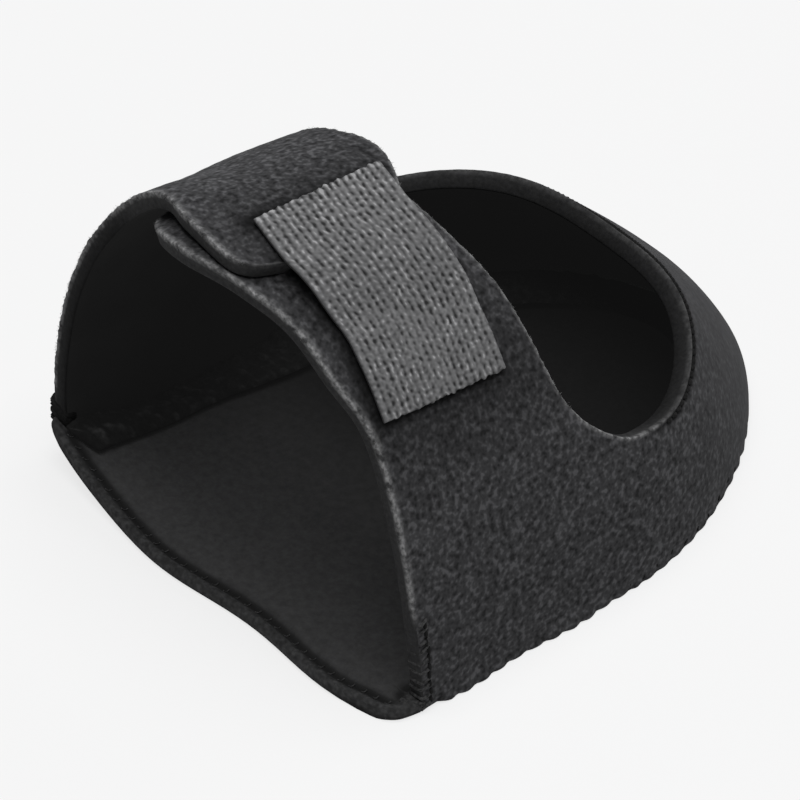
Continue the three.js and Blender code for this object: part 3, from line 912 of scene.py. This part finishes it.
def wrap_piece(finishes):
    """Overlock threads round the front edges, with the dark chain of stitches behind the near ones."""
    section = np.array(WRAP_SECTION)
    wraps = []
    for side in (NEAR_WRAPS, FAR_WRAPS):
        starts = np.arange(side.low, side.high, side.step)[:, None]
        starts = starts + rng.normal(0, WRAP_SPREAD, starts.shape)
        slants = rng.normal(WRAP_SLANT.mean, WRAP_SLANT.spread, starts.shape)
        up = np.maximum(starts + np.linspace(0.5, -0.5, len(section)) * slants, FLOOR_CLEAR)
        run = side.run + side.inward * section[:, 0]
        rise = section[:, 1] + side.bulge * (section[:, 1] > WRAP_OUTER)
        wraps.append(tubes(cloth_points(run, up, rise), side.thread))
    near_wraps, far_wraps = wraps
    low = np.arange(WRAP_CHAIN.low, WRAP_CHAIN.high, WRAP_CHAIN.pitch)[:, None]
    up = low + WRAP_CHAIN.length * ALONG_ARC
    run = NEAR_WRAPS.run + WRAP_CHAIN.inset + rng.normal(0, WRAP_CHAIN.sway, low.shape)
    chain = arched_stitches(run, up, WRAP_CHAIN)
    corner_paths = np.array([[(x, y, height) for x, y in CORNER_PATH] for height in CORNER_HEIGHTS])
    corner = tubes(corner_paths, CORNER_THREAD)
    points, faces = joined(near_wraps, corner, far_wraps, chain)
    grey_faces = len(near_wraps[1]) + len(corner[1])
    zones = [0] * grey_faces + [1] * (len(faces) - grey_faces)
    return make_piece("front_wraps", points, faces, finishes, zones)


RIM_STITCH = Sizes(
    first_row=11.6, last_row=18.8, steps=600, pitch=1.6, length=1.2, thread=0.36, spread=0.08, rise=-0.1,
    dip=0.25, far_sunk=0.28, far_full=20,
)
FOOT_TICK = Sizes(share=0.75, low=0.5, high=1.6, length=1.0, thread=0.2, lean=0.4, rise=-0.24, dip=0.2)


def stitch_piece(finish):
    """The dashed line of black stitches in the rim's groove, and the ticks along the foot."""
    rows = np.linspace(RIM_STITCH.first_row, RIM_STITCH.last_row, RIM_STITCH.steps)
    edge, rim = pattern(rows)
    line = rim + unit(edge - rim) * RIM_GROOVE.inset
    starts = np.arange(0, travel(line)[-1] - RIM_STITCH.pitch, RIM_STITCH.pitch)[:, None]
    starts = starts + rng.normal(0, RIM_STITCH.spread, starts.shape)
    places = starts + RIM_STITCH.length * ALONG_ARC
    on_line = along_path(line, places.ravel()).reshape(*places.shape, 2)
    run, up = on_line[..., 0], on_line[..., 1]
    sunk = RIM_STITCH.far_sunk * smooth((run - HEEL_BACK) / RIM_STITCH.far_full)
    rim_stitches = arched_stitches(run, up, RIM_STITCH, sunk)

    run = np.arange(SCALLOP.pitch * 2, WHOLE_RUN - SCALLOP.pitch, SCALLOP.pitch)
    run = run[rng.random(len(run)) < FOOT_TICK.share][:, None]
    low = rng.uniform(FOOT_TICK.low, FOOT_TICK.high, run.shape)
    lean = rng.normal(0, FOOT_TICK.lean, run.shape)
    up = low + FOOT_TICK.length * ALONG_ARC
    ticks = arched_stitches(run + lean * ALONG_ARC, up, FOOT_TICK)
    points, faces = joined(rim_stitches, ticks)
    return make_piece("edge_stitches", points, faces, [finish])


HEM_STITCH = Sizes(pitch=2.4, half=0.45, thread=0.11, sides=5, sway=0.3, margin=7, sunk=0.44, end_rise=0.35)


def hem_stitch_piece(finish):
    """Ticks of thread across the groove behind the sole's hem."""
    lip = lip_line()
    places = np.arange(HEM_STITCH.margin, travel(lip)[-1] - HEM_STITCH.margin, HEM_STITCH.pitch)
    on_lip = along_path(lip, places)
    ahead = unit(np.gradient(on_lip, axis=0))
    inward = np.stack([-ahead[:, 1], ahead[:, 0]], -1)
    plan = (
        on_lip[:, None]
        + inward[:, None] * (HEM.groove + HEM_STITCH.half * ARC)[:, None]
        + ahead[:, None] * (HEM_STITCH.sway * ARC)[:, None]
    )
    height = SOLE_THICK - HEM_STITCH.sunk + HEM_STITCH.end_rise * ARC**2
    paths = np.concatenate([plan, np.broadcast_to(height[:, None], (*plan.shape[:2], 1))], -1)
    points, faces = tubes(curled(paths), HEM_STITCH.thread, HEM_STITCH.sides)
    return make_piece("hem_stitches", points, faces, [finish])


# The hook tab

TAPE = Sizes(rib=TAB_WIDTH / 19, stitch=1.5, relief=0.17, level=0.8, highest=1.1, side_tone=0.15)
TAPE_MESH = Sizes(
    columns=150, inner_columns=15, edge_radius=0.3, spacing=0.2, line_steps=400, edge_steps=(76, 51),
)
# tones of the weave's relief, which also colour it: painted shade in the pits and painted highlights on the
# crests and knots, over the weave's pattern
TAPE_TONES = Sizes(
    ground=0.53, crest_top=0.36, crest_low=0.24, crest_level=0.3, pit=0.9, knot=0.3, fluff=0.46,
    fluff_size=0.55,
)
RIB_WANDER = Sizes(share=0.2, size=3, drawn_out=3)
PIT = Sizes(
    half_width=0.3, half_length=0.42, sway=0.19, weakest=0.2, mean=0.85, swing=0.4, patch=6,
    patch_shift=40,
)
KNOT = Sizes(share=0.25, aside=0.5, below=0.5, half_width=0.3, half_length=0.35)
SELVEDGE = (0.35, 0.75)    # in from the tape's edges, where the pits start
TAPE_TOP = Sizes(
    knot=0.75, knot_weakest=-0.2, knot_half=0.5, drop=0.6, drop_spread=0.25, gap=0.3, gap_weakest=0.3,
    gap_half=0.3, gap_drop=0.7, fade=(1.2, 1.8),
)
RAGGED = Sizes(reach=0.45, size=0.9, depth=0.7)    # the tape's cut ends
TAPE_SHADOW_EDGES = [      # how far and how strongly the tape's painted shadow reaches beside each of its edges
    ("top", 6, 1), ("top", 14, 0.35), ("front_high", 7, 0.55), ("front_low", 5, 1), ("rear_low", 5, 0.65),
    ("end", 3, 0.9), ("end", 20, 0.55),
]
WEAVE_DICE = 64    # random values each way over the weave, and along its top, before they repeat
TOP_DICE = 32
TAPE_LINE = spline(TAB_FRONT, np.linspace(0, len(TAB_FRONT) - 1, TAPE_MESH.line_steps))
TAPE_LENGTH = travel(TAPE_LINE)[-1]


def tape_place(stations, across):
    """Place on the wall, and rise, of the tape's underside at lengths down its front edge and across."""
    start = along_path(TAPE_LINE, stations)
    to_rear = across / TAB_WIDTH
    up = start[:, 1:] + TAB_SKEW * (0.5 - to_rear)
    ramp_end = mix(TAB_RAMP.front_end, TAB_RAMP.rear_end, to_rear)
    on_strap = smooth((up - ramp_end) / (TAB_RAMP.start - ramp_end))
    return start[:, :1] + across, up, GAP + (STRAP_LIFT + TAB_REAR_RISE * to_rear) * on_strap


def tape_edges():
    """Points along the tape's edges, each with its reach and share of TAPE_SHADOW_EDGES."""
    down, over = TAPE_MESH.edge_steps
    stations, across = np.linspace(0, TAPE_LENGTH, down), np.linspace(0, TAB_WIDTH, over)
    points = off_wall(*tape_place(stations, across[None]))
    half = down // 2
    edges = {
        "top": points[0], "front_high": points[:half, 0], "front_low": points[half:, 0],
        "rear_low": points[half:, -1], "end": points[-1],
    }
    return [(edges[edge], reach, share) for edge, reach, share in TAPE_SHADOW_EDGES]


def tape_weave(u, v):
    """Relief of the tape's lengthwise ribs, with uneven pits between them at each stitch."""
    dice = np.random.default_rng(3)
    table = (WEAVE_DICE, WEAVE_DICE)
    strength = dice.uniform(PIT.weakest, 1, table)
    sway = dice.normal(0, PIT.sway, table)
    knotted = dice.random(table) < KNOT.share
    flat = np.stack([u, v, 0 * u], -1)
    wander = RIB_WANDER.share * grain(flat / (1, RIB_WANDER.drawn_out, 1), RIB_WANDER.size)
    column = u / TAPE.rib + wander
    crest = np.cos(np.pi * (column - 0.5)) ** 2
    gap = np.round(column).astype(int)
    count = v / TAPE.stitch + 0.5 * (gap % 2)
    off_u = (column - gap) * TAPE.rib
    beside = bell((abs(off_u) - KNOT.aside) / KNOT.half_width)
    pits, knots = 0, 0
    for step in (-1, 0, 1):
        row = np.floor(count).astype(int) + step
        pick = (gap % WEAVE_DICE, row % WEAVE_DICE)
        off_v = (count - row - 0.5 - sway[pick]) * TAPE.stitch
        pit = bell(off_u / PIT.half_width) * bell(off_v / PIT.half_length)
        pits = np.maximum(pits, strength[pick] * pit)
        below = bell((off_v - KNOT.below) / KNOT.half_length)
        knots = np.maximum(knots, knotted[pick] * beside * below)
    patches = PIT.mean + PIT.swing * grain(flat + PIT.patch_shift, PIT.patch)
    pitted = rising(np.minimum(u, TAB_WIDTH - u), *SELVEDGE)
    tones = TAPE_TONES
    ribbed = mix(tones.crest_top, tones.crest_low, smooth(v / TAPE_LENGTH))
    weave = ribbed * (crest - tones.crest_level) - tones.pit * pits * patches * pitted + tones.knot * knots
    return tones.ground + weave + tones.fluff * grain(flat, tones.fluff_size)


def tape_top(u, v):
    """A bright, uneven knot at each rib's sewn top end, and dark gaps between them."""
    dice = np.random.default_rng(5)
    top = TAPE_TOP
    column = u / TAPE.rib
    rib, gap = np.floor(column).astype(int), np.round(column).astype(int)
    strength = dice.uniform(top.knot_weakest, 1, TOP_DICE)[rib % TOP_DICE]
    drop = dice.normal(top.drop, top.drop_spread, TOP_DICE)[rib % TOP_DICE]
    off_rib, off_gap = (column - rib - 0.5) * TAPE.rib, (column - gap) * TAPE.rib
    knots = strength * bell(off_rib / top.knot_half) * bell((v - drop) / top.knot_half)
    deep = dice.uniform(top.gap_weakest, 1, TOP_DICE)[gap % TOP_DICE]
    gaps = deep * bell(off_gap / top.gap_half) * bell(v / top.gap_drop - 1)
    relief = top.knot * knots - top.gap * gaps
    return relief * (1 - rising(v, *top.fade))


def tape_piece(finishes):
    radius = TAPE_MESH.edge_radius
    stations = end_stations(TAPE_LENGTH, TAPE_MESH.spacing, radius)
    ends = np.minimum(stations, TAPE_LENGTH - stations)
    widths = np.full(len(stations), float(TAB_WIDTH))
    across, depth, faces, zones = panel_layout(widths, ends, TAPE_MESH, TAB_THICK)
    v = stations[:, None] + 0 * across
    relief = np.clip(tape_weave(across, v) + tape_top(across, v), 0, TAPE.highest)
    run, up, bed = tape_place(stations, across)
    ragged = RAGGED.reach * grain(np.stack([run, 0 * up, 0 * up], -1), RAGGED.size)
    up = up + ragged * np.exp(-ends[:, None] / RAGGED.depth)
    top = np.clip(1 - depth / TAB_THICK, 0, 1)
    rise = bed + TAB_THICK - depth + top * TAPE.relief * (relief - TAPE.level)
    # the relief also sets the colour, with painted shade in the pits
    tone = np.where(depth > radius, TAPE.side_tone, relief)
    return make_piece(
        "hook_tape", off_wall(run, up, rise), faces, finishes, zones,
        stands_for="hook_tab", marks={"relief": tone},
    )


# Loose fibres on the free cut edges

FUZZ = Sizes(
    count=2000, short=0.1, long=0.32, thick=0.03, tip=0.4, at_rim=0.25, inset=0.15, deepest=0.8,
    lift=(-0.3, 1), splay=0.45, bend=0.5, steps=4, sides=3,
)
FUZZ_ROWS = [(0.2, FLAP_FOOT - 1.2), (STRAP_FOOT + 1, LAST_ROW - 1.2)]    # where the edges are free


def fuzz_piece(finish):
    count, steps = FUZZ.count, FUZZ.steps
    rows = np.concatenate([rng.uniform(*free, count // len(FUZZ_ROWS)) for free in FUZZ_ROWS])
    edge, rim = pattern(rows)
    at_rim = rng.random(count)[:, None] < FUZZ.at_rim
    root, inward = np.where(at_rim, rim, edge), unit(np.where(at_rim, edge - rim, rim - edge))
    deep = FUZZ.deepest * rng.uniform(0, 1, count) ** 2
    here, inside = (
        cloth_points(*(root + inset * inward).T, -deep) for inset in (FUZZ.inset, FUZZ.inset + 1)
    )
    _, normals = wall(*root.T)
    lift = rng.uniform(*FUZZ.lift, (count, 1))
    away = unit(here - inside + normals * lift + rng.normal(0, FUZZ.splay, (count, 3)))
    bend = rng.normal(0, FUZZ.bend, (count, 3))
    length = rng.uniform(FUZZ.short, FUZZ.long, count)[:, None, None]
    t = np.linspace(0, 1, steps)[:, None]
    paths = here[:, None] + length * (away[:, None] * t + bend[:, None] * t**2)
    points, faces = tubes(paths, FUZZ.thick * np.linspace(1, FUZZ.tip, steps), FUZZ.sides)
    return make_piece("edge_fuzz", points, faces, [finish])


# Stage, light and camera

CAMERA = Sizes(azimuth=49, elevation=39.5, distance=1125, lens=308.3, sensor=36, clip_m=(0.05, 20))
CAMERA_TARGET = Vector((0, -8.425, 30))
CAMERA_AIM_OFF = Sizes(right=-3.284, up=-9.98)
FLOOR = Sizes(size=6, grey=0.13, mottle=1.005, fleck=30, glow=0.772)
SKY = 0.1


def make_stage():
    bpy.ops.mesh.primitive_plane_add(size=FLOOR.size)
    floor = bpy.context.object
    floor.name = "floor"
    paper = Finish(
        "pale_paper", Roughness=1, Specular_IOR_Level=0, Emission_Color=WHITE, Emission_Strength=FLOOR.glow
    )
    fleck = paper.specks(FLOOR.fleck)
    grey = paper.shades(fleck, (0, FLOOR.grey), (1, FLOOR.grey * FLOOR.mottle))
    floor.data.materials.append(paper.done(grey, fleck, 0.02, 0.05))

    world = bpy.data.worlds.new("studio")
    scene.world = world
    world.use_nodes = True
    background = world.node_tree.nodes["Background"]
    background.inputs["Color"].default_value = WHITE
    background.inputs["Strength"].default_value = SKY


def put_in_scene(name, data, place, facing):
    thing = bpy.data.objects.new(name, data)
    thing.location = place
    thing.rotation_mode = "QUATERNION"
    thing.rotation_quaternion = facing.to_track_quat("-Z", "Y")
    scene.collection.objects.link(thing)
    return thing


def add_softbox(name, place, size, power):
    light = bpy.data.lights.new(name, "AREA")
    light.size = size
    light.energy = power
    put_in_scene(name, light, place, -Vector(place))


def make_camera():
    azimuth, elevation = np.radians([CAMERA.azimuth, CAMERA.elevation])
    level = np.cos(elevation)
    back = Vector((np.sin(azimuth) * level, -np.cos(azimuth) * level, np.sin(elevation)))
    right = Vector((np.cos(azimuth), np.sin(azimuth), 0))
    aim = CAMERA_TARGET + right * CAMERA_AIM_OFF.right + back.cross(right) * CAMERA_AIM_OFF.up
    place = CAMERA_TARGET + back * CAMERA.distance
    data = bpy.data.cameras.new("camera")
    data.lens = CAMERA.lens
    data.sensor_width = CAMERA.sensor
    data.clip_start, data.clip_end = CAMERA.clip_m
    bpy.context.scene.camera = put_in_scene("camera", data, place * MM, aim - place)


make_camera()
make_stage()
add_softbox("key", place=(0.12, -0.02, 1.5), size=1.2, power=27.5)
add_softbox("back_light", place=(0.3, 1.2, 1.0), size=0.8, power=3)
scene.view_settings.view_transform = "Standard"

pile = pile_finish()
sole_cloth = sole_finish()
black_thread = thread_finish("black_thread", 0.003, 0.008)
grey_thread = thread_finish("grey_thread", 0.02, 0.06)
loose_fibre = thread_finish("loose_fibre", 0.07, 0.2)

upper = upper_piece([pile, cut_finish(), lining_finish()])
sole = sole_piece([sole_cloth, sole_cloth, pile])
seam_piece(seam_finish())
wraps = wrap_piece([grey_thread, black_thread])
stitches = stitch_piece(black_thread)
hem = hem_stitch_piece(grey_thread)
tape = tape_piece([tape_finish()] * 3)
fibres = fuzz_piece(loose_fibre)
